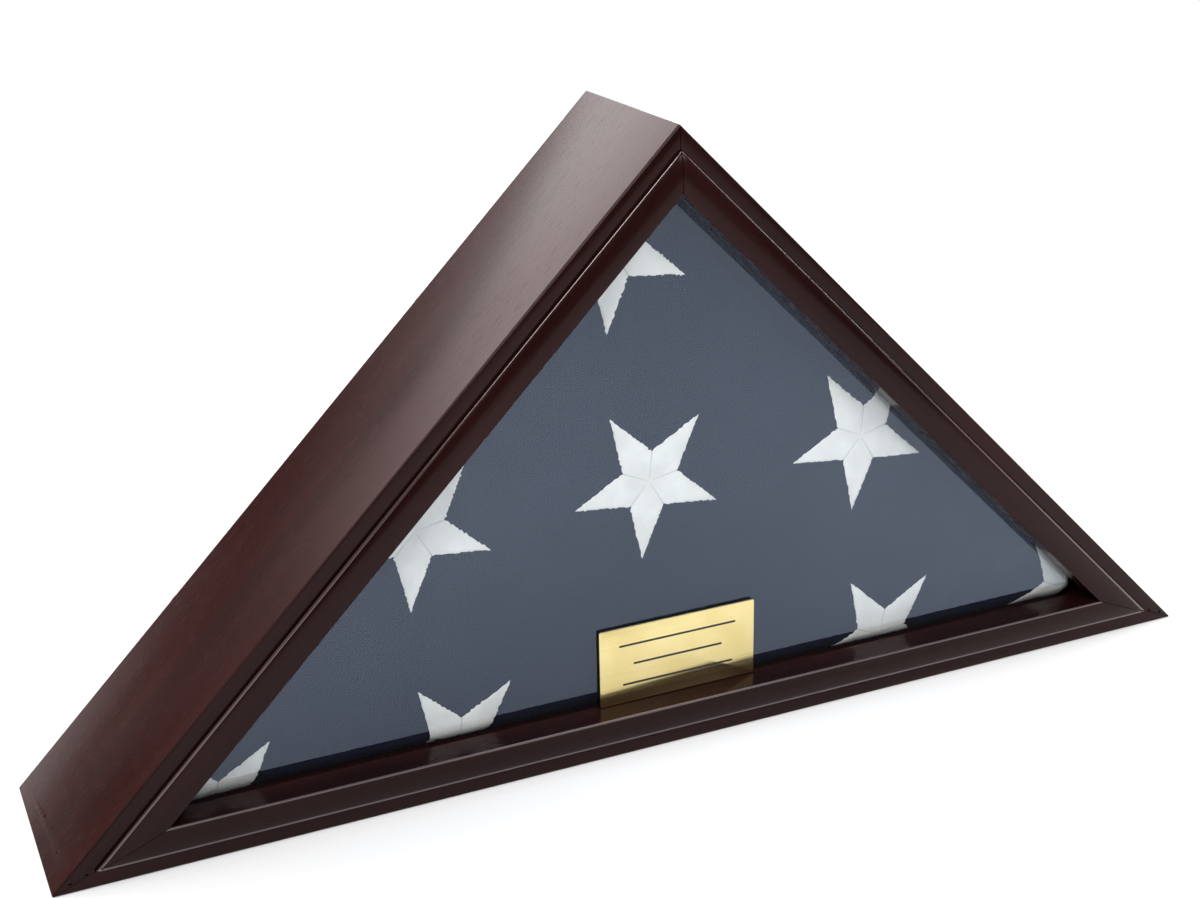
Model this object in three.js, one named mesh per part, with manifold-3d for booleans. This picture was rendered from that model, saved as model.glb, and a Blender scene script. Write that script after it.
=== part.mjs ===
// A folded flag display case: a triangular mitred wooden box with a moulded front frame and a glass
// front, a folded flag inside, a brass plaque on the glass, and a back panel held by turn buttons.
// Units are millimetres. X runs along the base, Y from the front to the back, and Z is up. The origin
// is under the middle of the case, on the surface that it stands on.
//
// "inset" is a distance in from the outer face of a side, square to it. "depth" is a distance back
// from the seam, which is the line where the front frame meets the outer faces of the walls.
import * as THREE from "three";
import { mergeVertices } from "three/addons/utils/BufferGeometryUtils.js";
import Module from "manifold-3d";

const wasm = await Module();
wasm.setup();

// The outside of the case: a right-angled isosceles triangle that stands on its long side.
const BASE = 648;
const HEIGHT = BASE / 2;
const BOX_DEPTH = 106.3;
const WALL = 16;

// The front frame.
const FRAME_WIDTH = 23.2;
const FRAME_PROUD = 4.3;
const STRIP_PROUD = 1;
const STRIP_WIDTH = 8.4;
const ARRIS_PROUD = 2.9;
const BAND_RADIUS = 26;
const BAND_CREST = 18;
const FRAME_BACK = 12;

// The glass and the beads that hold it.
const GLASS_THICKNESS = 2.5;
const GLASS_CLEARANCE = 1;
const BEAD = 4;

// The back panel, its lining and the rabbet that it lies in.
const RABBET_WIDTH = 6;
const PANEL_THICKNESS = 3;
const PANEL_SUNK = 0.3;
const PANEL_CLEARANCE = 0.4;
const LINING_THICKNESS = 0.8;

// The folded flag.
const FLAG_THICKNESS = 78;
const FLAG_EDGE_ROUND = 6;
const FLAG_EDGE_DEPTH = 9;
const FLAG_CORNER_CUT = 14;
const FLAG_CLEARANCE = 1.4;

// The plaque on the front of the glass.
const PLAQUE_WIDTH = 90;
const PLAQUE_HEIGHT = 43;
const PLATE_THICKNESS = 0.8;
const BACKING_THICKNESS = 1.1;
const PLAQUE_OFFSET = 2.9;

// The turn buttons and their screws.
const BUTTON_LENGTH = 26;
const BUTTON_WIDTH = 9;
const BUTTON_THICKNESS = 1.5;
const BUTTON_HOLE_RADIUS = 1.7;
const BUTTON_INSET = 5;
const BUTTON_PLACES = [0.27, 0.7];
const SCREW_LENGTH = 14;
const SCREW_RADIUS = 1.4;
const SCREW_HEAD_RADIUS = 2.9;
const SCREW_HEAD_HEIGHT = 1.8;
const PILOT_RADIUS = 1.7;
const RECESS_LENGTH = 3.2;
const RECESS_WIDTH = 0.8;
const RECESS_DEPTH = 1;

// The brads in the corners.
const BRAD_RADIUS = 0.6;
const BRAD_LENGTH = 22;
const BRAD_HOLE_RADIUS = 0.9;
const BRAD_SUNK = 0.6;
const WALL_BRAD_DEPTHS = [25, 60];
const WALL_BRAD_HEIGHT = 7;
const FRAME_BRADS = [
  { along: 16.6, up: 8 },
  { along: 8.8, up: 5.2 },
];

// Small gaps that keep neighbouring pieces apart.
const MITRE_GAP = 0.1;
const SEAM_GAP = 0.15;
const FIT = 0.1;

const HARDWARE_PROUD = 2 * FIT + BUTTON_THICKNESS + SCREW_HEAD_HEIGHT;
const SEAM_Y = -(BOX_DEPTH + HARDWARE_PROUD - FRAME_PROUD) / 2;
const GLASS_DEPTH = FRAME_BACK + FIT;
const BEAD_DEPTH = GLASS_DEPTH + GLASS_THICKNESS + FIT;
const PANEL_DEPTH = BOX_DEPTH - PANEL_SUNK - PANEL_THICKNESS;
const LEDGE_DEPTH = PANEL_DEPTH - FIT;

// Each corner: where it is, and how far a point moves in X and Z for each millimetre of inset.
const CORNERS = {
  left: { x: -BASE / 2, z: 0, dx: 1 + Math.SQRT2, dz: 1 },
  apex: { x: 0, z: HEIGHT, dx: 0, dz: -Math.SQRT2 },
  right: { x: BASE / 2, z: 0, dx: -(1 + Math.SQRT2), dz: 1 },
};

// Each side runs from its first corner to its second, clockwise as seen from the front.
const SIDES = {
  left: ["left", "apex"],
  right: ["apex", "right"],
  bottom: ["right", "left"],
};

const MATERIALS = {
  wall: { color: 0x4a2c2b, roughness: 0.3, metalness: 0 },
  frame: { color: 0x3b2325, roughness: 0.28, metalness: 0 },
  bead: { color: 0x2e1b1a, roughness: 0.5, metalness: 0 },
  glass: { color: 0xdfe8e8, roughness: 0.02, metalness: 0, transparent: true, opacity: 0.3 },
  flag: { color: 0x1a2036, roughness: 0.9, metalness: 0 },
  brass: { color: 0xe8cf86, roughness: 0.25, metalness: 1 },
  backing: { color: 0x0b0b0c, roughness: 0.7, metalness: 0 },
  panel: { color: 0x2b2422, roughness: 0.8, metalness: 0 },
  felt: { color: 0x0f0e10, roughness: 1, metalness: 0 },
  zinc: { color: 0xb9a878, roughness: 0.35, metalness: 1 },
  steel: { color: 0x9a9a9c, roughness: 0.4, metalness: 1 },
};

const flagCase = new THREE.Group();

function addMesh(parent, name, geometry, material) {
  const mesh = new THREE.Mesh(geometry, new THREE.MeshStandardMaterial(MATERIALS[material]));
  mesh.name = name;
  parent.add(mesh);
  return mesh;
}

// A corner point at an inset, in X and Z.
function cornerPoint(corner, inset) {
  const { x, z, dx, dz } = CORNERS[corner];
  return new THREE.Vector2(x + dx * inset, z + dz * inset);
}

// The frame of a side: X points in from its outer face, Y back, Z along it from its first corner.
function sideMatrix(side) {
  const start = cornerPoint(SIDES[side][0], 0);
  const along = cornerPoint(SIDES[side][1], 0).sub(start).normalize();
  const back = new THREE.Vector3(0, 1, 0);
  const run = new THREE.Vector3(along.x, 0, along.y);
  const inward = new THREE.Vector3().crossVectors(back, run);
  return new THREE.Matrix4().makeBasis(inward, back, run).setPosition(start.x, SEAM_Y, start.y);
}

function sideLength(side) {
  return cornerPoint(SIDES[side][0], 0).distanceTo(cornerPoint(SIDES[side][1], 0));
}

// A bar of constant section along a side, with mitred ends. The section is drawn with inset as X and
// depth as Y.
function mitredBar(section, side) {
  const geometry = new THREE.ExtrudeGeometry(section, {
    depth: 1,
    steps: 1,
    curveSegments: 6,
    bevelEnabled: false,
  });
  const [first, second] = SIDES[side];
  const position = geometry.getAttribute("position");
  for (let i = 0; i < position.count; i++) {
    const inset = position.getX(i);
    const start = cornerPoint(first, inset);
    const end = cornerPoint(second, inset);
    const cutBack = end.clone().sub(start).normalize().multiplyScalar(MITRE_GAP);
    const place = position.getZ(i) < 0.5 ? start.add(cutBack) : end.sub(cutBack);
    position.setXYZ(i, place.x, SEAM_Y + position.getY(i), place.y);
  }
  return geometry;
}

// A triangular sheet parallel to the front, at an inset from the outer faces.
function triangleSheet(inset, depth, thickness) {
  const outline = new THREE.Shape(Object.keys(CORNERS).map((corner) => cornerPoint(corner, inset)));
  const geometry = new THREE.ExtrudeGeometry(outline, { depth: thickness, bevelEnabled: false });
  return geometry.rotateX(Math.PI / 2).translate(0, SEAM_Y + depth + thickness, 0);
}

function toSolid(geometry) {
  const bare = geometry.index ? geometry.toNonIndexed() : geometry.clone();
  bare.deleteAttribute("normal");
  bare.deleteAttribute("uv");
  const merged = mergeVertices(bare, 1e-4);
  return new wasm.Manifold(
    new wasm.Mesh({
      numProp: 3,
      vertProperties: new Float32Array(merged.getAttribute("position").array),
      triVerts: new Uint32Array(merged.index.array),
    }),
  );
}

// A geometry with the cutters taken away from it.
function cut(geometry, cutters) {
  const solid = cutters.reduce((left, cutter) => left.subtract(toSolid(cutter)), toSolid(geometry));
  const mesh = solid.getMesh();
  const result = new THREE.BufferGeometry();
  result.setAttribute("position", new THREE.BufferAttribute(mesh.vertProperties, 3));
  result.setIndex(new THREE.BufferAttribute(mesh.triVerts, 1));
  result.computeVertexNormals();
  return result;
}

// A cylinder that starts at a point and runs along a direction.
function rod(radius, length, start, direction, segments = 10) {
  const turn = new THREE.Quaternion().setFromUnitVectors(
    new THREE.Vector3(0, 1, 0),
    direction.clone().normalize(),
  );
  return new THREE.CylinderGeometry(radius, radius, length, segments)
    .translate(0, length / 2, 0)
    .applyQuaternion(turn)
    .translate(start.x, start.y, start.z);
}

// ---- Brads ------------------------------------------------------------------------------------

// Every brad: where its head would meet the surface, and which way it is driven.
function bradPlaces() {
  const places = {};
  WALL_BRAD_DEPTHS.forEach((depth, i) => {
    for (const [side, sign] of [["left", -1], ["right", 1]]) {
      places[`wall_brad_${side}_${i + 1}`] = {
        start: new THREE.Vector3(sign * (BASE / 2 - WALL_BRAD_HEIGHT), SEAM_Y + depth, WALL_BRAD_HEIGHT),
        direction: new THREE.Vector3(-sign, 0, 0),
      };
    }
    places[`wall_brad_apex_${i + 1}`] = {
      start: new THREE.Vector3(WALL_BRAD_HEIGHT, SEAM_Y + depth, HEIGHT - WALL_BRAD_HEIGHT),
      direction: new THREE.Vector3(-1, 0, -1),
    };
  });
  FRAME_BRADS.forEach(({ along, up }, i) => {
    for (const [side, sign] of [["left", -1], ["right", 1]]) {
      places[`frame_brad_${side}_${i + 1}`] = {
        start: new THREE.Vector3(sign * (BASE / 2 - along), SEAM_Y - STRIP_PROUD, up),
        direction: new THREE.Vector3(0, 1, 0),
      };
    }
  });
  return places;
}

// A brad's rod, or the hole that it was driven into, from just outside the surface.
function bradRod({ start, direction }, hole) {
  const unit = direction.clone().normalize();
  const lead = hole ? -1 : BRAD_SUNK;
  const length = hole ? BRAD_LENGTH + BRAD_SUNK + 1.5 : BRAD_LENGTH;
  return rod(hole ? BRAD_HOLE_RADIUS : BRAD_RADIUS, length, start.clone().addScaledVector(unit, lead), unit, 8);
}

const brads = bradPlaces();
const bradHoles = Object.values(brads).map((place) => bradRod(place, true));

// ---- Walls and front frame ----------------------------------------------------------------------

// The front end of a wall is bevelled so that the frame's mitred back meets it at the outer corner.
function wallSection() {
  const section = new THREE.Shape();
  section.moveTo(0, SEAM_GAP);
  section.lineTo(FRAME_BACK, FRAME_BACK + SEAM_GAP);
  section.lineTo(WALL, FRAME_BACK + SEAM_GAP);
  section.lineTo(WALL, LEDGE_DEPTH);
  section.lineTo(WALL - RABBET_WIDTH, LEDGE_DEPTH);
  section.lineTo(WALL - RABBET_WIDTH, BOX_DEPTH);
  section.lineTo(0.6, BOX_DEPTH);
  section.lineTo(0, BOX_DEPTH - 0.6);
  return section;
}

// The moulding: an outer strip, a step up to an arris, a rounded band, and a lip back to the glass.
function frameSection() {
  const section = new THREE.Shape();
  const arrisInset = STRIP_WIDTH + 1;
  const crestDepth = -FRAME_PROUD + BAND_RADIUS;
  const lipInset = FRAME_WIDTH - 0.5;
  const angleAt = (inset) => -Math.PI / 2 + Math.asin((inset - BAND_CREST) / BAND_RADIUS);
  section.moveTo(0, 0);
  section.quadraticCurveTo(0, -STRIP_PROUD, STRIP_PROUD, -STRIP_PROUD);
  section.quadraticCurveTo(STRIP_WIDTH / 2, -STRIP_PROUD - 0.5, STRIP_WIDTH - 0.6, -STRIP_PROUD);
  section.lineTo(STRIP_WIDTH, -STRIP_PROUD + 0.4);
  section.lineTo(STRIP_WIDTH + 0.1, -ARRIS_PROUD + 0.6);
  section.quadraticCurveTo(STRIP_WIDTH + 0.1, -ARRIS_PROUD + 0.1, arrisInset, -ARRIS_PROUD);
  section.absarc(BAND_CREST, crestDepth, BAND_RADIUS, angleAt(arrisInset), angleAt(lipInset), false);
  section.quadraticCurveTo(FRAME_WIDTH, -FRAME_PROUD + 0.5, FRAME_WIDTH, -FRAME_PROUD + 1.2);
  section.lineTo(FRAME_WIDTH, FRAME_BACK);
  section.lineTo(FRAME_BACK, FRAME_BACK);
  return section;
}

// A quarter-round bead in the corner between the glass and a wall.
function beadSection() {
  const section = new THREE.Shape();
  const inset = WALL + FIT;
  section.moveTo(inset, BEAD_DEPTH);
  section.lineTo(inset + BEAD, BEAD_DEPTH);
  section.quadraticCurveTo(inset + BEAD, BEAD_DEPTH + BEAD, inset, BEAD_DEPTH + BEAD);
  return section;
}

// Where the turn buttons pivot, in the frame of their side.
function buttonPivots(side) {
  return BUTTON_PLACES.map((place) => new THREE.Vector3(BUTTON_INSET, BOX_DEPTH, place * sideLength(side)));
}

function pilotHoles(side) {
  return buttonPivots(side).map((pivot) => {
    const bottom = pivot.applyMatrix4(sideMatrix(side)).add(new THREE.Vector3(0, -SCREW_LENGTH, 0));
    return rod(PILOT_RADIUS, SCREW_LENGTH + 2, bottom, new THREE.Vector3(0, 1, 0), 12);
  });
}

for (const side of Object.keys(SIDES)) {
  const wall = cut(mitredBar(wallSection(), side), [...pilotHoles(side), ...bradHoles]);
  addMesh(flagCase, `${side}_wall`, wall, "wall");
  addMesh(flagCase, `front_frame_${side}`, cut(mitredBar(frameSection(), side), bradHoles), "frame");
  addMesh(flagCase, `glass_bead_${side}`, mitredBar(beadSection(), side), "bead");
}

for (const [name, place] of Object.entries(brads)) {
  addMesh(flagCase, name, bradRod(place, false), "steel");
}

// ---- Glass, back panel and lining ---------------------------------------------------------------

addMesh(
  flagCase,
  "glass_pane",
  triangleSheet(WALL + GLASS_CLEARANCE, GLASS_DEPTH, GLASS_THICKNESS),
  "glass",
);
addMesh(
  flagCase,
  "back_panel",
  triangleSheet(WALL - RABBET_WIDTH + PANEL_CLEARANCE, PANEL_DEPTH, PANEL_THICKNESS),
  "panel",
);
addMesh(
  flagCase,
  "panel_lining",
  triangleSheet(WALL + GLASS_CLEARANCE, PANEL_DEPTH - FIT - LINING_THICKNESS, LINING_THICKNESS),
  "felt",
);

// ---- Folded flag --------------------------------------------------------------------------------

// A thick triangle with softened corners, and edges rounded at the front and back.
function foldedFlag() {
  const inset = WALL + FLAG_CLEARANCE + FLAG_EDGE_ROUND;
  const corners = Object.keys(CORNERS).map((corner) => cornerPoint(corner, inset));
  const outline = new THREE.Shape();
  corners.forEach((corner, i) => {
    const before = corners[(i + 2) % 3].clone().sub(corner).setLength(FLAG_CORNER_CUT).add(corner);
    const after = corners[(i + 1) % 3].clone().sub(corner).setLength(FLAG_CORNER_CUT).add(corner);
    if (i === 0) outline.moveTo(before.x, before.y);
    else outline.lineTo(before.x, before.y);
    outline.quadraticCurveTo(corner.x, corner.y, after.x, after.y);
  });
  const geometry = new THREE.ExtrudeGeometry(outline, {
    depth: FLAG_THICKNESS - 2 * FLAG_EDGE_DEPTH,
    curveSegments: 4,
    bevelThickness: FLAG_EDGE_DEPTH,
    bevelSize: FLAG_EDGE_ROUND,
    bevelSegments: 3,
  });
  const front = SEAM_Y + BEAD_DEPTH + FLAG_CLEARANCE;
  return geometry.rotateX(Math.PI / 2).translate(0, front + FLAG_THICKNESS - FLAG_EDGE_DEPTH, 0);
}

addMesh(flagCase, "folded_flag", foldedFlag(), "flag");

// ---- Plaque -------------------------------------------------------------------------------------

const plaque = new THREE.Group();
plaque.position.set(
  PLAQUE_OFFSET,
  SEAM_Y + GLASS_DEPTH,
  FRAME_WIDTH + 3 * FIT + PLAQUE_HEIGHT / 2,
);
flagCase.add(plaque);

const backing = addMesh(
  plaque,
  "plaque_backing",
  new THREE.BoxGeometry(PLAQUE_WIDTH - 1, BACKING_THICKNESS, PLAQUE_HEIGHT - 1),
  "backing",
);
backing.position.y = -FIT - BACKING_THICKNESS / 2;

const plate = addMesh(
  plaque,
  "plaque_plate",
  new THREE.BoxGeometry(PLAQUE_WIDTH, PLATE_THICKNESS, PLAQUE_HEIGHT),
  "brass",
);
plate.position.y = -2 * FIT - BACKING_THICKNESS - PLATE_THICKNESS / 2;

// ---- Turn buttons -------------------------------------------------------------------------------

// A flat tab with round ends and a pivot hole in one of them. Its long end points along +X.
function turnButton() {
  const end = BUTTON_WIDTH / 2;
  const reach = BUTTON_LENGTH - BUTTON_WIDTH;
  const outline = new THREE.Shape();
  outline.absarc(0, 0, end, Math.PI / 2, (3 * Math.PI) / 2, false);
  outline.absarc(reach, 0, end * 0.8, -Math.PI / 2, Math.PI / 2, false);
  const hole = new THREE.Path();
  hole.absarc(0, 0, BUTTON_HOLE_RADIUS, 0, 2 * Math.PI, true);
  outline.holes.push(hole);
  const geometry = new THREE.ExtrudeGeometry(outline, {
    depth: BUTTON_THICKNESS,
    curveSegments: 10,
    bevelEnabled: false,
  });
  return geometry.rotateX(-Math.PI / 2);
}

// A round-head wood screw along Y. The underside of its head is at Y 0, and a cross is cut in it.
function woodScrew() {
  const profile = [
    new THREE.Vector2(0, -SCREW_LENGTH),
    new THREE.Vector2(SCREW_RADIUS, -SCREW_LENGTH + 3),
    new THREE.Vector2(SCREW_RADIUS, 0),
    new THREE.Vector2(SCREW_HEAD_RADIUS, 0),
  ];
  const steps = 5;
  for (let i = 1; i < steps; i++) {
    const angle = (i / steps) * (Math.PI / 2);
    profile.push(new THREE.Vector2(SCREW_HEAD_RADIUS * Math.cos(angle), SCREW_HEAD_HEIGHT * Math.sin(angle)));
  }
  profile.push(new THREE.Vector2(0, SCREW_HEAD_HEIGHT));
  const recessTop = SCREW_HEAD_HEIGHT - RECESS_DEPTH / 2 + 0.5;
  const recess = (x, z) => new THREE.BoxGeometry(x, RECESS_DEPTH + 1, z).translate(0, recessTop, 0);
  return cut(new THREE.LatheGeometry(profile, 14), [
    recess(RECESS_LENGTH, RECESS_WIDTH),
    recess(RECESS_WIDTH, RECESS_LENGTH),
  ]);
}

for (const side of Object.keys(SIDES)) {
  const hardware = new THREE.Group();
  hardware.applyMatrix4(sideMatrix(side));
  flagCase.add(hardware);
  buttonPivots(side).forEach((pivot, i) => {
    const mount = new THREE.Group();
    mount.position.copy(pivot).add(new THREE.Vector3(0, FIT, 0));
    hardware.add(mount);
    addMesh(mount, `turn_button_${side}_${i + 1}`, turnButton(), "zinc");
    const screw = addMesh(mount, `button_screw_${side}_${i + 1}`, woodScrew(), "steel");
    screw.position.y = BUTTON_THICKNESS + FIT;
  });
}

export default flagCase;
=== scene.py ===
"""A folded flag display case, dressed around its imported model: lacquered mahogany, glass, flag, plaque.

Everything is in metres, in the frame of the model: X along the base, Y from the front to the back, Z up.
"inset" is a distance in from the outer face of a side, square to it. "depth" is a distance back from the
seam, which is the line where the front frame meets the outer faces of the walls.
"""

import math
import random

import bmesh
import bpy
import numpy as np
from mathutils import Matrix, Vector, noise
from mathutils.bvhtree import BVHTree


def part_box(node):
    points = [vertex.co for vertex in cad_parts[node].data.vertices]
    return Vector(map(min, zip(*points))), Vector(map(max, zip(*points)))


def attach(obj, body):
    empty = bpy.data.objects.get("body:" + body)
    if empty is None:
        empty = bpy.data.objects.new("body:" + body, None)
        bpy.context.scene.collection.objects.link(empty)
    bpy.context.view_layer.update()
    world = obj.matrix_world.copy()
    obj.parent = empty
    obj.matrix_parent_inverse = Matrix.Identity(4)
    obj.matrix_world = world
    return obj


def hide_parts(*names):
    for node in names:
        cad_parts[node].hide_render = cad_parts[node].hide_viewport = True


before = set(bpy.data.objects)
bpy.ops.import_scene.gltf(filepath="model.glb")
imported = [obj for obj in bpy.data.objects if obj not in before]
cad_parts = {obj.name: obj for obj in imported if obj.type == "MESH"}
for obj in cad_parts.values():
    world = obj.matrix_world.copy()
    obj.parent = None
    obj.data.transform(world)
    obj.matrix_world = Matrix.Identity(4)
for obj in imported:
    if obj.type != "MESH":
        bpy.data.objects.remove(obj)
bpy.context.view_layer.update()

MM = 0.001
ROOT2 = math.sqrt(2)

# ---- Sizes ----

# Read from the model, or given to match it.
MITRE_GAP = 0.1 * MM
HALF_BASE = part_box("bottom_wall")[1].x + MITRE_GAP
APEX_Z = HALF_BASE
FRAME_PROUD = 4.3 * MM
SEAM_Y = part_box("front_frame_bottom")[0].y + FRAME_PROUD
BOX_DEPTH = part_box("bottom_wall")[1].y - SEAM_Y
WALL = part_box("bottom_wall")[1].z
FRAME_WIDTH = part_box("front_frame_bottom")[1].z
FRAME_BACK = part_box("front_frame_bottom")[1].y - SEAM_Y
LEDGE_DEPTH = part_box("back_panel")[0].y - SEAM_Y - 0.1 * MM
RABBET_WIDTH = 6 * MM
SEAM_GAP = 0.15 * MM

# The front moulding.
STRIP_PROUD = 1 * MM
STRIP_WIDTH = 8.4 * MM
ARRIS_PROUD = 2.9 * MM
BAND_RADIUS = 26 * MM
BAND_CREST = 18 * MM

# Stars: where they are on the flag's face, in X and Z, and how big they are.
STAR_ORIGIN = Vector((-10.2, 142.2)) * MM
STAR_ROW = Vector((124.7, 3.2)) * MM
STAR_COLUMN = Vector((17.6, -121.9)) * MM
STAR_PLACES = [(0, 0), (-1, 0), (1, 0), (0, -1), (-2, 1), (-1, 1), (0, 1), (1, 1), (2, 1)]
STAR_RADIUS = 42 * MM
STAR_TILT = math.radians(-30)
STAR_WAIST = 0.382
STAR_RISE = 0.55 * MM
STAR_FRAY = 1.0 * MM
STAR_THICKNESS = 0.9 * MM
STAR_ALONG = 40
STAR_ACROSS = 10
WRAP_DEPTH = 9 * MM

# Each corner: where it is in X and Z, and how far a point moves for each metre of inset.
CORNERS = {
    "left": (Vector((-HALF_BASE, 0)), Vector((1 + ROOT2, 1))),
    "apex": (Vector((0, APEX_Z)), Vector((0, -ROOT2))),
    "right": (Vector((HALF_BASE, 0)), Vector((-1 - ROOT2, 1))),
}

# Each side: its two corners, and the turn about Y that lays its length along X.
SIDES = {
    "left": ("left", "apex", math.radians(45)),
    "right": ("apex", "right", math.radians(-45)),
    "bottom": ("right", "left", 0.0),
}


def corner_point(corner, inset):
    place, step = CORNERS[corner]
    return place + step * inset


def side_inward(side):
    """The direction in from a side's outer face."""
    first, second, _ = SIDES[side]
    run = (corner_point(second, 0) - corner_point(first, 0)).normalized()
    return Vector((run.y, 0, -run.x))


# ---- Node materials ----


class Shader:
    """A new node material, with short ways to add nodes and join them."""

    def __init__(self, name):
        self.material = bpy.data.materials.new(name)
        self.material.use_nodes = True
        self.tree = self.material.node_tree
        self.tree.nodes.clear()
        self.output = self.add("ShaderNodeOutputMaterial")
        self.place = self.add("ShaderNodeTexCoord").outputs["Object"]

    def add(self, kind, inputs=None, **properties):
        node = self.tree.nodes.new(kind)
        for key, value in properties.items():
            setattr(node, key, value)
        for key, value in (inputs or {}).items():
            self.put(node.inputs[key], value)
        return node

    def put(self, socket, value):
        if isinstance(value, bpy.types.NodeSocket):
            self.tree.links.new(value, socket)
        else:
            socket.default_value = value

    def mapped(self, vector, scale=(1, 1, 1), turn=(0, 0, 0), shift=(0, 0, 0)):
        inputs = {"Vector": vector, "Scale": scale, "Rotation": turn, "Location": shift}
        return self.add("ShaderNodeMapping", inputs).outputs["Vector"]

    def noise(self, vector, scale=1.0, detail=2.0, roughness=0.5, distortion=0.0):
        inputs = {"Vector": vector, "Scale": scale, "Detail": detail}
        inputs.update({"Roughness": roughness, "Distortion": distortion})
        return self.add("ShaderNodeTexNoise", inputs).outputs["Fac"]

    def wave(self, vector, scale, direction, distortion=0.0, detail_scale=1.0):
        inputs = {"Vector": vector, "Scale": scale, "Distortion": distortion, "Detail Scale": detail_scale}
        node = self.add("ShaderNodeTexWave", inputs, bands_direction=direction)
        return node.outputs["Fac"]

    def math(self, operation, first, second=0.0):
        node = self.add("ShaderNodeMath", operation=operation)
        self.put(node.inputs[0], first)
        self.put(node.inputs[1], second)
        return node.outputs[0]

    def span(self, value, low, high, to_low=0.0, to_high=1.0):
        """The value from low to high, spread smoothly from to_low to to_high."""
        inputs = {"Value": value, "From Min": low, "From Max": high, "To Min": to_low, "To Max": to_high}
        node = self.add("ShaderNodeMapRange", inputs, interpolation_type="SMOOTHSTEP")
        return node.outputs["Result"]

    def blend(self, share, first, second):
        node = self.add("ShaderNodeMix", data_type="RGBA")
        self.put(node.inputs[0], share)
        self.put(node.inputs[6], first)
        self.put(node.inputs[7], second)
        return node.outputs[2]

    def bump(self, height, distance, under=None):
        inputs = {"Height": height, "Distance": distance, "Strength": 1.0}
        if under is not None:
            inputs["Normal"] = under
        return self.add("ShaderNodeBump", inputs).outputs["Normal"]

    def attribute(self, name):
        return self.add("ShaderNodeAttribute", attribute_name=name).outputs["Fac"]

    def surface(self, inputs):
        """Ends the material in a Principled shader."""
        node = self.add("ShaderNodeBsdfPrincipled", inputs)
        self.tree.links.new(node.outputs[0], self.output.inputs["Surface"])
        return self.material


def colour(red, green, blue):
    return (red, green, blue, 1.0)


def wood_material(name, side, shift, pale, dark, roughness, gloss, coat, coat_roughness):
    """Stained mahogany under lacquer, with its grain along one side of the case, and paler sharp arrises:
    part wear, part painted highlight.
    """
    s = Shader(name)
    board = s.mapped(s.place, turn=(0, SIDES[side][2], 0), shift=shift)
    figure = s.noise(s.mapped(board, (2.4, 30, 30)), 1, 4, 0.55, 0.8)
    streaks = s.noise(s.mapped(board, (7, 330, 330)), 1, 3, 0.6)
    cloud = s.noise(s.mapped(board, (5, 14, 14)), 1, 2)
    pores = s.span(s.noise(s.mapped(board, (90, 2100, 2100)), 1, 1), 0.62, 0.72)
    tone = s.blend(s.span(figure, 0.32, 0.7), colour(*dark), colour(*pale))
    tone = s.blend(s.span(streaks, 0.5, 0.75, 0, 0.4), tone, colour(*[c * 0.45 for c in dark]))
    tone = s.blend(s.math("MULTIPLY", pores, 0.15), tone, colour(*[c * 0.25 for c in dark]))
    # Sharp arrises turn paler and greyer here: partly lacquer rubbed thin, partly a painted highlight along
    # the arrises.
    rubbed_and_highlit = s.math("MULTIPLY", s.attribute("wear_and_highlight"), s.span(cloud, 0.4, 0.65, 0.05, 0.45))
    tone = s.blend(rubbed_and_highlit, tone, colour(pale[0] * 2.2, pale[1] * 3.0, pale[2] * 2.6))
    matt = s.math(
        "ADD",
        s.span(cloud, 0.3, 0.7, roughness - 0.04, roughness + 0.05),
        s.math("MULTIPLY", pores, 0.1),
    )
    peel = s.noise(board, 900, 2)
    relief = s.bump(s.math("SUBTRACT", s.math("MULTIPLY", peel, 0.3), pores), 0.006 * MM)
    relief = s.bump(streaks, 0.02 * MM, relief)
    return s.surface({
        "Base Color": tone,
        "Roughness": matt,
        "Normal": relief,
        "Specular IOR Level": gloss,
        "Specular Tint": colour(1.0, 0.80, 0.81),
        "Coat Weight": coat,
        "Coat Roughness": coat_roughness,
    })


def glass_material():
    """Clear glass as a thin pane. Its two faces mirror together where a ray enters, and let the rest by."""
    s = Shader("clear_glass")
    mirror = s.add("ShaderNodeFresnel", {"IOR": 1.5}).outputs[0]
    entering = s.math("SUBTRACT", 1.0, s.add("ShaderNodeNewGeometry").outputs["Backfacing"])
    smear = s.span(s.noise(s.place, 9, 3), 0.35, 0.7, 1.9, 2.05)
    share = s.math("MULTIPLY", s.math("MULTIPLY", mirror, entering), smear)
    clear = s.add("ShaderNodeBsdfTransparent", {"Color": colour(0.985, 0.993, 0.99)})
    gloss = s.add("ShaderNodeBsdfGlossy", {"Color": colour(0.66, 0.79, 1.0), "Roughness": 0.012})
    both = s.add("ShaderNodeMixShader", {0: share})
    s.tree.links.new(clear.outputs[0], both.inputs[1])
    s.tree.links.new(gloss.outputs[0], both.inputs[2])
    s.tree.links.new(both.outputs[0], s.output.inputs["Surface"])
    return s.material


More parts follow.
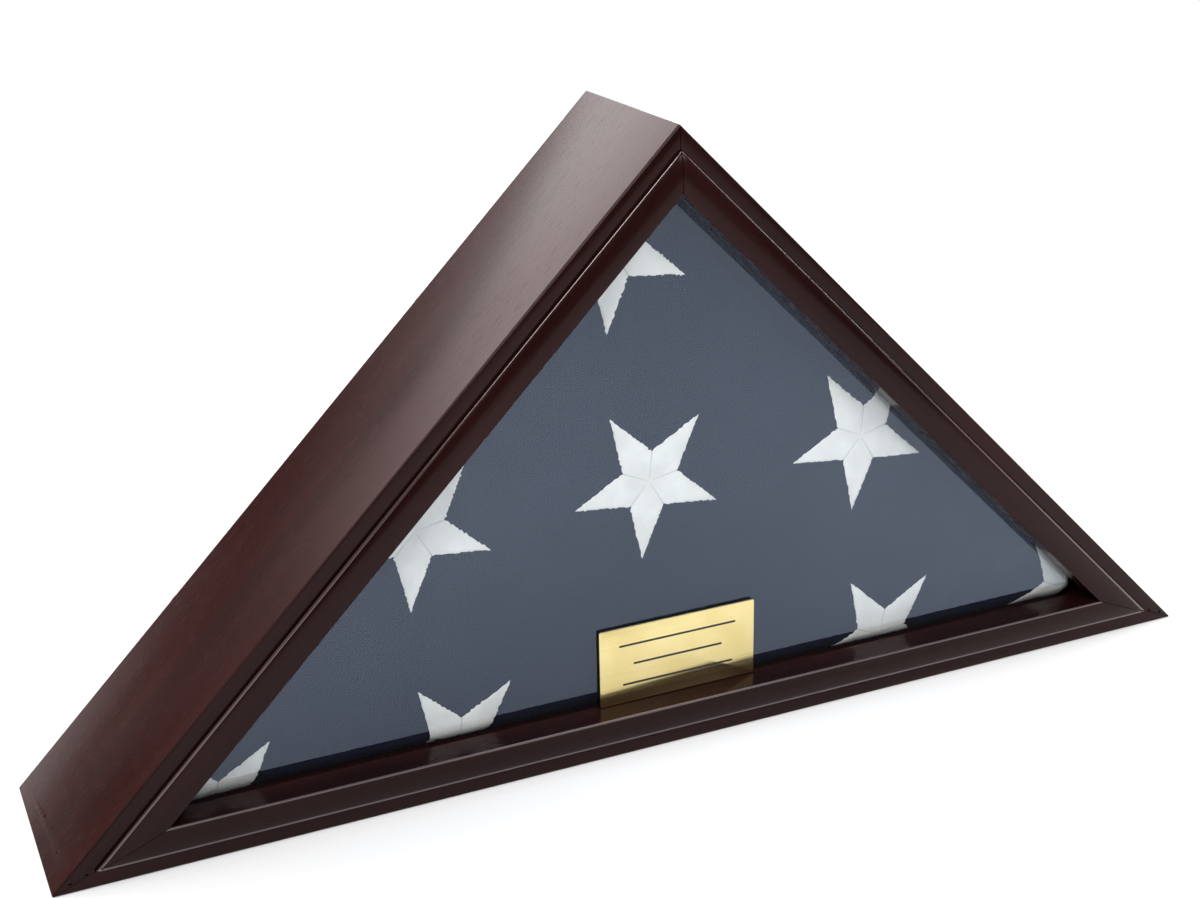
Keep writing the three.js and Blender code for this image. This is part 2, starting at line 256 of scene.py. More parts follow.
def bunting_material():
    """The flag's navy cotton: a plain weave with slubs and a slight bloom."""
    s = Shader("navy_bunting")
    cloth = s.mapped(s.place, turn=(0, math.radians(1.4), 0))
    warp = s.noise(s.mapped(cloth, (1500, 200, 50)), 1, 1)
    weft = s.noise(s.mapped(cloth, (50, 200, 1500)), 1, 1)
    weave = s.math("MULTIPLY", warp, weft)
    slubs = s.noise(s.mapped(cloth, (60, 60, 900)), 1, 3)
    patches = s.noise(cloth, 14, 3)
    tone = s.blend(s.span(patches, 0.3, 0.7), colour(0.0052, 0.0064, 0.0175), colour(0.0078, 0.0090, 0.0225))
    tone = s.blend(s.span(weave, 0.15, 0.4), s.blend(0.12, tone, colour(0.002, 0.002, 0.005)), tone)
    tone = s.blend(s.span(slubs, 0.62, 0.78, 0, 0.4), tone, colour(0.014, 0.016, 0.036))
    relief = s.bump(weave, 0.002 * MM)
    relief = s.bump(slubs, 0.004 * MM, relief)
    return s.surface({
        "Base Color": tone,
        "Roughness": s.span(slubs, 0.3, 0.7, 0.8, 0.95),
        "Normal": relief,
        "Specular IOR Level": 0.08,
        "Sheen Weight": 0.02,
        "Sheen Roughness": 0.5,
    })


def embroidery_material():
    """White satin-stitch thread. The stitches lie across each arm, along the stitch map's second axis."""
    s = Shader("white_embroidery")
    stitch = s.add("ShaderNodeUVMap", uv_map="stitch").outputs["UV"]
    threads = s.wave(stitch, 600, "X", 2.0, 4)
    fuzz = s.noise(s.place, 1500, 3)
    patches = s.noise(s.place, 70, 3)
    tone = s.blend(s.span(patches, 0.3, 0.7), colour(0.84, 0.835, 0.81), colour(0.95, 0.945, 0.92))
    tone = s.blend(s.span(threads, 0.0, 0.5, 0.5, 0), tone, colour(0.66, 0.665, 0.655))
    # Painted shade: the thread is painted darker grey along the seams where the arms meet, from the centre to
    # the notches.
    tone = s.blend(s.span(s.attribute("seam"), 0.45, 1.0, 0, 0.4), tone, colour(0.30, 0.30, 0.31))
    relief = s.bump(threads, 0.16 * MM)
    relief = s.bump(fuzz, 0.13 * MM, relief)
    return s.surface({
        "Base Color": tone,
        "Roughness": s.span(fuzz, 0.3, 0.7, 0.55, 0.75),
        "Normal": relief,
        "Specular IOR Level": 0.35,
        "Sheen Weight": 0.2,
        "Sheen Roughness": 0.4,
    })


def brushed_metal(name, pale, dark, roughness, along=(2, 1, 900), spots=0.0):
    """A brushed metal, with scratches that run along X by default."""
    s = Shader(name)
    lines = s.noise(s.mapped(s.place, along), 1, 3, 0.6)
    patches = s.noise(s.place, 45, 4)
    tone = s.blend(s.span(patches, 0.35, 0.7), colour(*pale), colour(*dark))
    tone = s.blend(s.span(lines, 0.4, 0.8, 0, 0.06), tone, colour(*[c * 0.75 for c in dark]))
    if spots:
        stain = s.span(s.noise(s.place, 260, 3), 0.6, 0.75, 0, spots)
        tone = s.blend(stain, tone, colour(*[c * 0.35 for c in dark]))
    return s.surface({
        "Base Color": tone,
        "Metallic": 1.0,
        "Roughness": s.span(lines, 0.25, 0.8, roughness - 0.05, roughness + 0.1),
        "Normal": s.bump(lines, 0.0015 * MM),
        "Anisotropic": 0.4,
    })


def foam_material():
    """The plaque's black foam backing."""
    s = Shader("black_foam")
    cells = s.add("ShaderNodeTexVoronoi", {"Vector": s.place, "Scale": 2200.0}).outputs["Distance"]
    tone = s.blend(s.span(cells, 0.1, 0.6), colour(0.004, 0.004, 0.005), colour(0.014, 0.014, 0.015))
    return s.surface({
        "Base Color": tone,
        "Roughness": s.span(cells, 0.1, 0.6, 0.75, 0.95),
        "Normal": s.bump(cells, 0.1 * MM),
    })


def grained_material(name, grain, first, second, smoothest, roughest, relief=0.0, extra=None):
    """A material that one noise colours, roughens and raises. The grain is its scale and detail."""
    s = Shader(name)
    fine = s.noise(s.place, *grain)
    inputs = {
        "Base Color": s.blend(fine, colour(*first), colour(*second)),
        "Roughness": s.span(fine, 0.3, 0.7, smoothest, roughest),
    }
    if relief:
        inputs["Normal"] = s.bump(fine, relief)
    return s.surface({**inputs, **(extra or {})})


def enamel_material():
    """Black paint that fills the plaque's engraved rules."""
    dark, pale = (0.008, 0.007, 0.006), (0.02, 0.018, 0.015)
    return grained_material("black_enamel", (900, 3), dark, pale, 0.3, 0.5, 0.01 * MM)


def felt_material():
    """Black felt lining."""
    dark, pale = (0.003, 0.003, 0.004), (0.012, 0.012, 0.013)
    sheen = {"Sheen Weight": 0.3}
    return grained_material("black_felt", (900, 4, 0.7), dark, pale, 0.85, 1.0, 0.3 * MM, sheen)


def floor_material():
    """A plain pale studio floor."""
    dark, pale = (0.90, 0.90, 0.90), (0.93, 0.93, 0.93)
    gloss = {"Specular IOR Level": 0.1}
    return grained_material("pale_floor", (3, 3), dark, pale, 0.85, 0.95, extra=gloss)


def hardboard_material():
    """Dark hardboard: pressed fibres under a thin stain."""
    s = Shader("dark_hardboard")
    fibres = s.noise(s.mapped(s.place, (500, 500, 900)), 1, 4, 0.7, 1.5)
    mottle = s.noise(s.place, 22, 4)
    tone = s.blend(s.span(mottle, 0.3, 0.7), colour(0.024, 0.016, 0.013), colour(0.033, 0.022, 0.017))
    tone = s.blend(s.span(fibres, 0.55, 0.8, 0, 0.6), tone, colour(0.075, 0.052, 0.040))
    return s.surface({
        "Base Color": tone,
        "Roughness": s.span(fibres, 0.3, 0.7, 0.55, 0.8),
        "Normal": s.bump(fibres, 0.05 * MM),
        "Specular IOR Level": 0.3,
    })


# ---- Mesh helpers ----


def make_object(name, mesh, material, body="case", nodes=()):
    """A new piece of the object: it rides on a body, takes a material, and hides the CAD nodes that it takes
    the place of.
    """
    piece = bpy.data.objects.new(name, mesh)
    bpy.context.scene.collection.objects.link(piece)
    mesh.materials.clear()
    mesh.materials.append(material)
    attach(piece, body)
    if nodes:
        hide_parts(*nodes)
    return piece


def mesh_from(name, vertices, faces, smooth_angle=35):
    mesh = bpy.data.meshes.new(name)
    mesh.from_pydata([tuple(v) for v in vertices], [], faces)
    mesh.validate()
    smooth(mesh, smooth_angle)
    return mesh


def ring_faces(rows, count, closed=False):
    """Four-sided faces that join each row of points to the next, and the last row to the first if closed."""
    faces = []
    for r in range(rows if closed else rows - 1):
        n = (r + 1) % rows
        for i in range(count):
            j = (i + 1) % count
            faces.append((r * count + i, r * count + j, n * count + j, n * count + i))
    return faces


def smooth(mesh, angle):
    """Smooth shading, with edges sharper than the angle kept."""
    mesh.polygons.foreach_set("use_smooth", [True] * len(mesh.polygons))
    mesh.set_sharp_from_angle(angle=math.radians(angle))
    mesh.update()


def point_outward(mesh):
    work = bmesh.new()
    work.from_mesh(mesh)
    bmesh.ops.recalc_face_normals(work, faces=work.faces)
    if work.calc_volume(signed=True) < 0:
        bmesh.ops.reverse_faces(work, faces=work.faces)
    work.to_mesh(mesh)
    work.free()


def cut_away(mesh, cutters, smooth_angle=35):
    """The mesh with each cutter mesh taken away from it."""
    body = bpy.data.objects.new("cut_body", mesh)
    bpy.context.scene.collection.objects.link(body)
    tools = []
    for cutter in cutters:
        tool = bpy.data.objects.new("cut_tool", cutter)
        bpy.context.scene.collection.objects.link(tool)
        tools.append(tool)
        step = body.modifiers.new("cut", "BOOLEAN")
        step.operation = "DIFFERENCE"
        step.solver = "EXACT"
        step.object = tool
    graph = bpy.context.evaluated_depsgraph_get()
    result = bpy.data.meshes.new_from_object(body.evaluated_get(graph))
    for thing in [body, *tools]:
        bpy.data.objects.remove(thing)
    smooth(result, smooth_angle)
    return result


def rod_mesh(radius, start, direction, length, segments=20):
    """A plain cylinder, used as a cutter."""
    work = bmesh.new()
    bmesh.ops.create_cone(
        work, cap_ends=True, segments=segments, radius1=radius, radius2=radius, depth=length
    )
    turn = direction.normalized().to_track_quat("Z", "Y").to_matrix().to_4x4()
    middle = start + direction.normalized() * (length / 2)
    bmesh.ops.transform(work, matrix=Matrix.Translation(middle) @ turn, verts=work.verts)
    mesh = bpy.data.meshes.new("rod")
    work.to_mesh(mesh)
    work.free()
    return mesh


# ---- Outlines ----


def quadratic(start, control, end, steps):
    """Points along a quadratic curve, without its start."""
    points = []
    for i in range(1, steps + 1):
        t = i / steps
        points.append(start * (1 - t) ** 2 + control * (2 * t * (1 - t)) + end * t**2)
    return points


def wall_section():
    """(inset, depth) points round a wall, with its arrises eased."""
    ease = 0.5 * MM
    corners = [
        (0, SEAM_GAP, 0.8 * MM),
        (FRAME_BACK, FRAME_BACK + SEAM_GAP, 0.1 * MM),
        (WALL, FRAME_BACK + SEAM_GAP, 0.4 * MM),
        (WALL, LEDGE_DEPTH, ease),
        (WALL - RABBET_WIDTH, LEDGE_DEPTH, 0.1 * MM),
        (WALL - RABBET_WIDTH, BOX_DEPTH, ease),
        (0, BOX_DEPTH, 1.0 * MM),
    ]
    points = []
    for i, (inset, depth, radius) in enumerate(corners):
        here = Vector((inset, depth))
        before = Vector(corners[i - 1][:2])
        after = Vector(corners[(i + 1) % len(corners)][:2])
        start = here + (before - here).normalized() * radius
        end = here + (after - here).normalized() * radius
        points.append(start)
        points.extend(quadratic(start, here, end, 4))
    return points


def frame_section():
    """(inset, depth) points round the moulding: strip, step, arris, band, and the lip back to the glass."""
    arris_inset = STRIP_WIDTH + 1.3 * MM
    lip_inset = FRAME_WIDTH - 0.5 * MM
    crest_depth = -FRAME_PROUD + BAND_RADIUS

    def band(inset):
        angle = math.asin((inset - BAND_CREST) / BAND_RADIUS)
        return Vector((inset, crest_depth - BAND_RADIUS * math.cos(angle)))

    strip_start = Vector((STRIP_PROUD, -STRIP_PROUD))
    strip_end = Vector((STRIP_WIDTH - 0.6 * MM, -STRIP_PROUD))
    strip_crown = Vector((STRIP_WIDTH / 2, -STRIP_PROUD - 0.5 * MM))
    step_foot = Vector((STRIP_WIDTH, -STRIP_PROUD + 0.4 * MM))
    step_top = Vector((STRIP_WIDTH + 0.1 * MM, -ARRIS_PROUD + 0.6 * MM))
    arris_control = Vector((STRIP_WIDTH + 0.1 * MM, -ARRIS_PROUD + 0.1 * MM))
    lip_top = band(lip_inset)
    lip_end = Vector((FRAME_WIDTH, -FRAME_PROUD + 1.2 * MM))

    points = [Vector((0, 0))]
    points += quadratic(points[0], Vector((0, -STRIP_PROUD)), strip_start, 6)
    points += quadratic(strip_start, strip_crown, strip_end, 10)
    points += [step_foot, step_top]
    points += quadratic(step_top, arris_control, Vector((arris_inset, -ARRIS_PROUD)), 6)
    steps = 22
    for i in range(1, steps + 1):
        points.append(band(arris_inset + (lip_inset - arris_inset) * i / steps))
    points += quadratic(lip_top, Vector((FRAME_WIDTH, -FRAME_PROUD + 0.5 * MM)), lip_end, 6)
    points.append(Vector((FRAME_WIDTH, FRAME_BACK)))
    points.append(Vector((FRAME_BACK, FRAME_BACK)))
    return points


def sharpness(section):
    """For each point of a section, how sharply it turns outward, from 0 to 1: where lacquer rubs thin, and
    where a highlight is painted.
    """
    share = []
    for i, here in enumerate(section):
        before = (here - section[i - 1]).normalized()
        after = (section[(i + 1) % len(section)] - here).normalized()
        turn = before.x * after.y - before.y * after.x
        share.append(min(1.0, max(0.0, turn * 2.5)))
    return share


END_STEPS = [0.25 * MM, 0.6 * MM, 1.0 * MM, 1.6 * MM, 2.4 * MM, 3.4 * MM, 4.6 * MM, 6.0 * MM]
END_ROOM = 6.0 * MM
END_EASE = 4.0 * MM
END_DROP = 0.9 * MM
RING_SPACING = 12 * MM
RIPPLE_LENGTH = 30 * MM
RIPPLE_WIDTH = 12 * MM
SHARP_ANGLE = 32


def end_drop(point, from_end):
    """How far sanding has taken the arris back near a mitre."""
    near = max(0.0, 1 - from_end / END_EASE)
    width = 2.2 * MM
    beside = max(0.0, 1 - abs(point.x - STRIP_WIDTH - 1 * MM) / width)
    return END_DROP * near**2 * beside if point.x > STRIP_WIDTH else 0.0


def mitred_bar(name, section, side, ease, ripple=0.0):
    """A bar of constant section along a side, with eased mitred ends. A ripple lets its front wander back."""
    first, second, _ = SIDES[side]
    length = (corner_point(second, 0) - corner_point(first, 0)).length
    count = len(section)
    inner = []
    for i, here in enumerate(section):
        along = (section[(i + 1) % count] - section[i - 1]).normalized()
        inner.append(here + Vector((-along.y, along.x)) * ease)
    area = sum(
        section[i].x * section[(i + 1) % count].y - section[(i + 1) % count].x * section[i].y
        for i in range(count)
    )
    if area < 0:
        inner = [here * 2 - there for here, there in zip(section, inner)]

    def ring(points, share, from_end):
        """The section where a share of the length is behind it, a distance from the nearer mitre."""
        places = []
        for point in points:
            start = corner_point(first, point.x)
            end = corner_point(second, point.x)
            run = (end - start).normalized()
            if share == 0:
                near = start + run * (MITRE_GAP + from_end)
            elif share == 1:
                near = end - run * (MITRE_GAP + from_end)
            else:
                near = (start + run * END_ROOM).lerp(end - run * END_ROOM, share)
            depth = point.y
            if ripple and depth < 0:
                place = (share * length / RIPPLE_LENGTH, point.x / RIPPLE_WIDTH, hash_of(name))
                wander = noise.noise(Vector(place))
                depth += ripple * (0.5 + 0.5 * wander)
                depth += end_drop(point, from_end)
            places.append(Vector((near.x, SEAM_Y + depth, near.y)))
        return places

    rows = [ring(inner, 0, 0)]
    rows += [ring(section, 0, gap) for gap in END_STEPS]
    steps = round(length / RING_SPACING)
    rows += [ring(section, i / steps, END_ROOM) for i in range(1, steps)]
    rows += [ring(section, 1, gap) for gap in reversed(END_STEPS)]
    rows.append(ring(inner, 1, 0))
    vertices = [v for row in rows for v in row]
    faces = ring_faces(len(rows), count)
    faces.append(tuple(range(count)))
    faces.append(tuple((len(rows) - 1) * count + i for i in range(count)))
    mesh = mesh_from(name, vertices, faces, SHARP_ANGLE)
    point_outward(mesh)
    mesh.set_sharp_from_angle(angle=math.radians(SHARP_ANGLE))
    # Each point's sharpness, which the wood paints paler: part rubbed lacquer, part painted highlight.
    wear_and_highlight = mesh.attributes.new("wear_and_highlight", "FLOAT", "POINT")
    sharp = sharpness(section if area > 0 else [Vector((p.x, -p.y)) for p in section])
    wear_and_highlight.data.foreach_set("value", [v for _ in rows for v in sharp])
    return mesh


def hash_of(name):
    """A fixed number for a name, so that each bar ripples in its own way."""
    return sum(ord(letter) * (i + 1) for i, letter in enumerate(name)) % 97


# ---- Wood ----

WALL_PALE = (0.031, 0.0050, 0.0042)
WALL_DARK = (0.020, 0.0034, 0.0030)
# The bottom board, whose top is the shelf inside the case, takes a redder copy of the wall colour, about
# twice as bright: painted light on the shelf.
SHELF_PAINTED_LIGHT_PALE = (0.068, 0.0095, 0.0052)
SHELF_PAINTED_LIGHT_DARK = (0.039, 0.0052, 0.0032)
FRAME_PALE = (0.018, 0.0045, 0.0040)
FRAME_DARK = (0.0085, 0.0020, 0.0019)

WALL_FINISH = {"roughness": 0.24, "gloss": 0.25, "coat": 0.0, "coat_roughness": 0.2}
FRAME_FINISH = {"roughness": 0.18, "gloss": 0.16, "coat": 0.0, "coat_roughness": 0.08}
BEAD_FINISH = {"roughness": 0.5, "gloss": 0.25, "coat": 0.0, "coat_roughness": 0.3}
ARRIS_FINISH = {"roughness": 0.16, "gloss": 1.0, "coat": 0.8, "coat_roughness": 0.1}

# Where each side's grain is taken from, so that no two boards match.
GRAIN_SHIFTS = {"left": (3.1, 0.4, 0.2), "right": (7.7, 1.3, 0.9), "bottom": (12.9, 2.2, 1.7)}

WALL_END_EASE = 0.08 * MM
FRAME_END_EASE = 0.25 * MM
FRAME_RIPPLE = 0.07 * MM


def brad_places():
    """For each brad, its name, where its hole starts, just outside the surface, and which way it goes."""
    places = []
    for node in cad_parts:
        if "_brad_" not in node:
            continue
        low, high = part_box(node)
        middle = (low + high) / 2
        if node.startswith("frame_"):
            direction = Vector((0, 1, 0))
            start = Vector((middle.x, low.y - 2 * MM, middle.z))
        elif "apex" in node:
            direction = Vector((-1, 0, -1))
            start = Vector((high.x + 1 * MM, middle.y, high.z + 1 * MM))
        else:
            sign = -1 if "left" in node else 1
            direction = Vector((-sign, 0, 0))
            edge = low.x if sign < 0 else high.x
            start = Vector((edge + sign * 2 * MM, middle.y, middle.z))
        places.append((node, start, direction))
    return places


BRAD_HOLE_RADIUS = 0.8 * MM
BRAD_HOLE_LENGTH = 25.5 * MM
PILOT_RADIUS = 1.7 * MM
PILOT_LENGTH = 18 * MM


def brad_holes(words):
    """A cutter for each brad with one of the words in its name."""
    return [
        rod_mesh(BRAD_HOLE_RADIUS, start, direction, BRAD_HOLE_LENGTH)
        for node, start, direction in brad_places()
        if any(word in node for word in words)
    ]


def screw_place(side, number):
    """The middle of a screw in X and Z, and the lowest and highest Y that it reaches."""
    low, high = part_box(f"button_screw_{side}_{number}")
    return Vector(((low.x + high.x) / 2, 0, (low.z + high.z) / 2)), low.y, high.y


def pilot_holes(side):
    """A cutter for each screw's pilot hole, from just past its tip to outside the back edge."""
    holes = []
    for number in (1, 2):
        place, low, _ = screw_place(side, number)
        start = place + Vector((0, low - 0.5 * MM, 0))
        holes.append(rod_mesh(PILOT_RADIUS, start, Vector((0, 1, 0)), PILOT_LENGTH))
    return holes


WALL_BRADS = {
    "left": ["wall_brad_left", "wall_brad_apex"],
    "right": ["wall_brad_right", "wall_brad_apex"],
    "bottom": ["wall_brad_left", "wall_brad_right", "frame_brad"],
}
FRAME_BRADS = {
    "left": ["frame_brad_left"],
    "right": ["frame_brad_right"],
    "bottom": ["frame_brad"],
}


def make_wood():
    for side in SIDES:
        shift = GRAIN_SHIFTS[side]
        # The bottom board takes the shelf colour, which holds painted light.
        wall_pale = SHELF_PAINTED_LIGHT_PALE if side == "bottom" else WALL_PALE
        wall_dark = SHELF_PAINTED_LIGHT_DARK if side == "bottom" else WALL_DARK
        wall_look = wood_material(f"mahogany_wall_{side}", side, shift, wall_pale, wall_dark, **WALL_FINISH)
        frame_look = wood_material(
            f"mahogany_frame_{side}", side, shift[::-1], FRAME_PALE, FRAME_DARK, **FRAME_FINISH
        )
        bead_look = wood_material(
            f"mahogany_bead_{side}", side, shift, FRAME_PALE, FRAME_DARK, **BEAD_FINISH
        )
        arris_look = wood_material(
            f"glossy_arris_{side}", side, shift[::-1], FRAME_PALE, FRAME_DARK, **ARRIS_FINISH
        )
        wall = cut_away(
            mitred_bar(f"wall_board_{side}", wall_section(), side, WALL_END_EASE),
            pilot_holes(side) + brad_holes(WALL_BRADS[side]),
        )
        make_object(f"wall_board_{side}", wall, wall_look, nodes=[f"{side}_wall"])
        moulding = cut_away(
            mitred_bar(f"moulding_{side}", frame_section(), side, FRAME_END_EASE, FRAME_RIPPLE),
            brad_holes(FRAME_BRADS[side]),
        )
        make_object(
            f"moulding_{side}", moulding, frame_look, nodes=[f"front_frame_{side}"]
        )
        gloss_arrises(moulding, side, arris_look)
        dress_cad(f"glass_bead_{side}", bead_look, 0.3 * MM)


def gloss_arrises(mesh, side, material):
    """Gives a moulding's arris, and the bottom one's lip, the material: thick, bright lacquer."""
    mesh.materials.append(material)
    inward = side_inward(side)
    corner = corner_point(SIDES[side][0], 0)
    for face in mesh.polygons:
        inset = (face.center - Vector((corner.x, 0, corner.y))).dot(inward)
        depth = face.center.y - SEAM_Y
        on_arris = STRIP_WIDTH < inset < STRIP_WIDTH + 1.5 * MM and depth < -STRIP_PROUD - 0.8 * MM
        on_lip = inset > FRAME_WIDTH - 0.9 * MM and depth < -FRAME_PROUD + 1.1 * MM
        if on_arris or (on_lip and side == "bottom"):
            face.material_index = 1


def dress_cad(node, material, bevel=0.0):
    """Gives a CAD node its material, and eases its edges."""
    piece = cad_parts[node]
    piece.data.materials.clear()
    piece.data.materials.append(material)
    if bevel:
        weld = piece.modifiers.new("weld", "WELD")
        weld.merge_threshold = 0.001 * MM
        ease = piece.modifiers.new("ease", "BEVEL")
        ease.width = bevel
        ease.segments = 3
        ease.limit_method = "ANGLE"
        ease.angle_limit = math.radians(40)


# ---- Folded flag ----

FLAG_PULL_IN = 0.6 * MM
FLAG_SWELL = 1.2 * MM
FLAG_VOXEL = 4.0 * MM
FLAG_LAYERS = 13
FLAG_WAVE = 0.5 * MM
FLAG_RIPPLE = 0.12 * MM
SIM_FRAMES = 20


def inset_of(x, z):
    """How far a point is in from the nearest side."""
    slanted = (APEX_Z - z - abs(x)) / ROOT2
    return min(z, slanted)


def swollen_flag():
    """The flag's solid, pulled in, then swelled by a cloth simulation inside the room that it has."""
    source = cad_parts["folded_flag"]
    low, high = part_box("folded_flag")
    middle = (low + high) / 2
    size = high - low
    pulled = Vector([1 - times * FLAG_PULL_IN / length for times, length in zip((4, 2, 3), size)])
    start = source.data.copy()
    for v in start.vertices:
        v.co = middle + (v.co - middle) * pulled
    body = bpy.data.objects.new("flag_body", start)
    bpy.context.scene.collection.objects.link(body)
    remesh = body.modifiers.new("voxels", "REMESH")
    remesh.mode = "VOXEL"
    remesh.voxel_size = FLAG_VOXEL
    even = body.modifiers.new("even", "SMOOTH")
    even.iterations = 2
    graph = bpy.context.evaluated_depsgraph_get()
    dense = bpy.data.meshes.new_from_object(body.evaluated_get(graph))
    bpy.data.objects.remove(body)
    dense = simulate(dense)
    return dense, low, high


def simulate(mesh):
    """The mesh after cloth under pressure has swelled it, with how far a point may move capped."""
    rest = np.array([v.co for v in mesh.vertices])
    body = bpy.data.objects.new("flag_cloth", mesh)
    bpy.context.scene.collection.objects.link(body)
    cloth = body.modifiers.new("cloth", "CLOTH")
    settings = cloth.settings
    settings.quality = 5
    settings.mass = 0.3
    settings.tension_stiffness = 15
    settings.compression_stiffness = 15
    settings.shear_stiffness = 5
    settings.bending_stiffness = 0.5
    settings.use_pressure = True
    settings.uniform_pressure_force = 4
    settings.effector_weights.gravity = 0
    cloth.point_cache.frame_start = 1
    cloth.point_cache.frame_end = SIM_FRAMES
    scene = bpy.context.scene
    for number in range(1, SIM_FRAMES + 1):
        scene.frame_set(number)
    graph = bpy.context.evaluated_depsgraph_get()
    moved = bpy.data.meshes.new_from_object(body.evaluated_get(graph))
    scene.frame_set(1)
    bpy.data.objects.remove(body)
    now = np.array([v.co for v in moved.vertices])
    step = now - rest
    far = np.linalg.norm(step, axis=1)
    keep = FLAG_SWELL * np.tanh(far / FLAG_SWELL) / np.maximum(far, 1e-9)
    moved.vertices.foreach_set("co", (rest + step * keep[:, None]).astype(np.float32).ravel())
    moved.update()
    return moved


def finish_flag(mesh, low, high):
    """Adds the folds at the flag's sides and slight waves on its face, and keeps it inside its room."""
    work = bmesh.new()
    work.from_mesh(mesh)
    bmesh.ops.subdivide_edges(work, edges=work.edges, cuts=1, use_grid_fill=True, smooth=0.6)
    work.normal_update()
    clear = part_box("folded_flag")[0].z + 0.3 * MM
    for v in work.verts:
        side = 1 - abs(v.normal.y)
        layer = math.sin((v.co.y - low.y) / (high.y - low.y) * FLAG_LAYERS * math.tau)
        wave = noise.noise(v.co * 18) * FLAG_WAVE + noise.noise(v.co * 60) * FLAG_RIPPLE
        v.co -= v.normal * (side * side * (0.9 + 0.9 * layer) * MM * 0.8)
        v.co += v.normal * (wave * (1 - side))
        v.co.y = min(max(v.co.y, low.y - 0.5 * MM), high.y - 0.2 * MM)
        gap = clear - inset_of(v.co.x, v.co.z)
        if gap > 0:
            if v.co.z < clear:
                v.co.z = clear
            slanted = clear - (APEX_Z - v.co.z - abs(v.co.x)) / ROOT2
            if slanted > 0:
                v.co.x -= math.copysign(slanted / ROOT2, v.co.x)
                v.co.z -= slanted / ROOT2
    work.to_mesh(mesh)
    work.free()
    smooth(mesh, 180)
    return mesh


def star_mesh(number, centre, surface, front):
    """A star stitched on the flag: five kites that each rise to a ridge, laid on the flag's surface."""
    waist = STAR_WAIST * math.cos(math.tau / 10)
    vertices, faces, stitches, seam_shades = [], [], [], []
    for arm in range(5):
        angle = STAR_TILT + arm * math.tau / 5
        tip = Vector((math.sin(angle), math.cos(angle))) * STAR_RADIUS
        notches = []
        for half in (-1, 1):
            turn = angle + half * math.tau / 10
            notches.append(Vector((math.sin(turn), math.cos(turn))) * STAR_RADIUS * STAR_WAIST)
        base = len(vertices)
        for i in range(STAR_ALONG + 1):
            s = i / STAR_ALONG
            for j in range(STAR_ACROSS + 1):
                t = j / STAR_ACROSS * 2 - 1
                notch = notches[0] if t < 0 else notches[1]
                if s < waist:
                    edge = notch * (s / waist)
                else:
                    edge = notch.lerp(tip, (s - waist) / (1 - waist))
                axis = tip * s
                flat = axis.lerp(edge, abs(t))
                if abs(t) == 1 and waist < s < 1:
                    out = flat - axis
                    fray = noise.noise(Vector((flat.x, flat.y, number)) * 900) * STAR_FRAY
                    flat = flat + out.normalized() * max(fray, -0.15 * out.length)
                swell = 0.5 if i in (0, STAR_ALONG) else (1 - abs(t) ** 3) ** 0.5
                if s < waist:
                    height = STAR_RISE * (0.4 + 0.6 * swell)
                else:
                    height = STAR_RISE * (0.12 + 0.88 * swell) * min(1, 0.35 + (1 - s) * 3)
                place = centre + flat
                before = Vector((place.x, front - 10 * MM, place.y))
                hit = surface.ray_cast(before, Vector((0, 1, 0)))[0]
                too_far = hit is None or hit.y > front + WRAP_DEPTH
                vertices.append(None if too_far else Vector((place.x, hit.y - height, place.y)))
                stitches.append((s * STAR_RADIUS + arm, t * 10 * MM))
                # Seam points, between the arms from the centre to the notches, get painted shade in the
                # thread.
                seam_shades.append(1.0 if abs(t) == 1 and s < waist else 0.0)
        for i in range(STAR_ALONG):
            for j in range(STAR_ACROSS):
                a = base + i * (STAR_ACROSS + 1) + j
                faces.append((a, a + 1, a + STAR_ACROSS + 2, a + STAR_ACROSS + 1))
    faces = [f for f in faces if all(vertices[i] is not None for i in f)]
    used = sorted({i for f in faces for i in f})
    index = {old: new for new, old in enumerate(used)}
    mesh = bpy.data.meshes.new(f"embroidered_star_{number}")
    mesh.from_pydata([tuple(vertices[i]) for i in used], [], [tuple(index[i] for i in f) for f in faces])
    seam = mesh.attributes.new("seam", "FLOAT", "POINT")
    seam.data.foreach_set("value", [seam_shades[i] for i in used])
    layer = mesh.uv_layers.new(name="stitch")
    for loop in mesh.loops:
        layer.data[loop.index].uv = stitches[used[loop.vertex_index]]
    return close_sheet(mesh, STAR_THICKNESS)


def close_sheet(mesh, thickness):
    """Makes a closed body of an open sheet: a copy of it lies behind, joined round the rim."""
    work = bmesh.new()
    work.from_mesh(mesh)
    bmesh.ops.remove_doubles(work, verts=work.verts, dist=0.02 * MM)
    bmesh.ops.recalc_face_normals(work, faces=work.faces)
    if sum(f.normal.y * f.calc_area() for f in work.faces) > 0:
        bmesh.ops.reverse_faces(work, faces=work.faces)
    while True:
        pinched = [v for v in work.verts if sum(e.is_boundary for e in v.link_edges) > 2]
        if not pinched:
            break
        bmesh.ops.delete(work, geom=pinched, context="VERTS")
    rim = [tuple(e.verts) for e in work.edges if e.is_boundary]
    copy = bmesh.ops.duplicate(work, geom=work.verts[:] + work.edges[:] + work.faces[:])
    behind = copy["vert_map"]
    copied_faces = [g for g in copy["geom"] if isinstance(g, bmesh.types.BMFace)]
    for v in [g for g in copy["geom"] if isinstance(g, bmesh.types.BMVert)]:
        v.co.y += thickness
    bmesh.ops.reverse_faces(work, faces=copied_faces)
    for a, b in rim:
        work.faces.new((a, b, behind[b], behind[a]))
    bmesh.ops.recalc_face_normals(work, faces=work.faces)
    work.to_mesh(mesh)
    work.free()
    smooth(mesh, 50)
    return mesh


